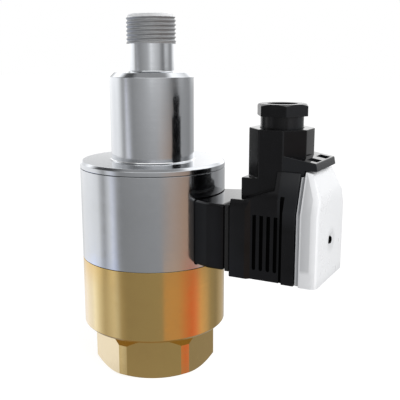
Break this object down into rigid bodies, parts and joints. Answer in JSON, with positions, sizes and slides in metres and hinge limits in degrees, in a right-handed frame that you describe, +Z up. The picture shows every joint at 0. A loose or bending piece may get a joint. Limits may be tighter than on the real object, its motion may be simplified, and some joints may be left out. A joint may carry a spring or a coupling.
{
  "type": "release solenoid valve",
  "caption": "Upright cylindrical solenoid valve with a brass spanner hexagon, steel coil housing, turned cap with a male stub, and a plug-in cable connector with a gland on its side.",
  "frame": {"origin": "middle of the bounding box's footprint, at the height of the hexagon's bottom face", "axes": "+Z up along the valve's axis towards the male stub, +X towards the cable connector"},
  "size_m": [0.0894, 0.05, 0.1215],
  "materials": {
    "top_cap": "polished",
    "coil_housing": "polished",
    "brass_body": "polished",
    "hex_fitting": "polished",
    "guide_tube": "satin",
    "fixed_core": "turned",
    "core_o_ring": "matte",
    "tube_o_ring": "matte",
    "fitting_o_ring": "matte",
    "plunger": "turned",
    "plunger_seal": "matte",
    "return_spring": "drawn wire",
    "lower_flux_plate": "turned",
    "bobbin": "moulded",
    "winding": "enamelled wire",
    "coil_encapsulation": "moulded, semi-gloss",
    "connector_gasket": "matte",
    "contact_block": "moulded",
    "line_pin": "stamped",
    "neutral_pin": "stamped",
    "earth_pin": "stamped",
    "line_contact": "stamped",
    "neutral_contact": "stamped",
    "earth_contact": "stamped",
    "line_terminal_screw": "zinc plated",
    "neutral_terminal_screw": "zinc plated",
    "earth_terminal_screw": "zinc plated",
    "connector_screw": "zinc plated",
    "threaded_insert": "knurled",
    "connector_housing": "moulded, semi-gloss",
    "connector_cover": "clear, lightly frosted",
    "gland_nut": "moulded, semi-gloss",
    "gland_washer": "stamped",
    "gland_seal": "matte"
  },
  "bodies": {
    "valve_body": {"top_cap": "top_cap", "coil_housing": "coil_housing", "brass_body": "brass_body", "hex_fitting": "hex_fitting", "guide_tube": "guide_tube", "fixed_core": "fixed_core", "core_o_ring": "core_o_ring", "tube_o_ring": "tube_o_ring", "fitting_o_ring": "fitting_o_ring", "return_spring": "return_spring", "lower_flux_plate": "lower_flux_plate", "bobbin": "bobbin", "winding": "winding", "coil_encapsulation": "coil_encapsulation", "connector_gasket": "connector_gasket", "contact_block": "contact_block", "line_pin": "line_pin", "neutral_pin": "neutral_pin", "earth_pin": "earth_pin", "line_contact": "line_contact", "neutral_contact": "neutral_contact", "earth_contact": "earth_contact", "line_terminal_screw": "line_terminal_screw", "neutral_terminal_screw": "neutral_terminal_screw", "earth_terminal_screw": "earth_terminal_screw", "connector_screw": "connector_screw", "threaded_insert": "threaded_insert", "connector_housing": "connector_housing", "connector_cover": "connector_cover", "gland_nut": "gland_nut", "gland_washer": "gland_washer", "gland_seal": "gland_seal"},
    "plunger": {"plunger": "plunger", "plunger_seal": "plunger_seal"}
  },
  "joints": [
    {"name": "plunger_slide", "type": "slide", "parent": "valve_body", "child": "plunger", "axis": [0, 0, 1], "range_m": [0, 0.002], "stiffness_N_per_m": 200, "springref_m": -0.005, "deforming": ["return_spring"]}
  ]
}
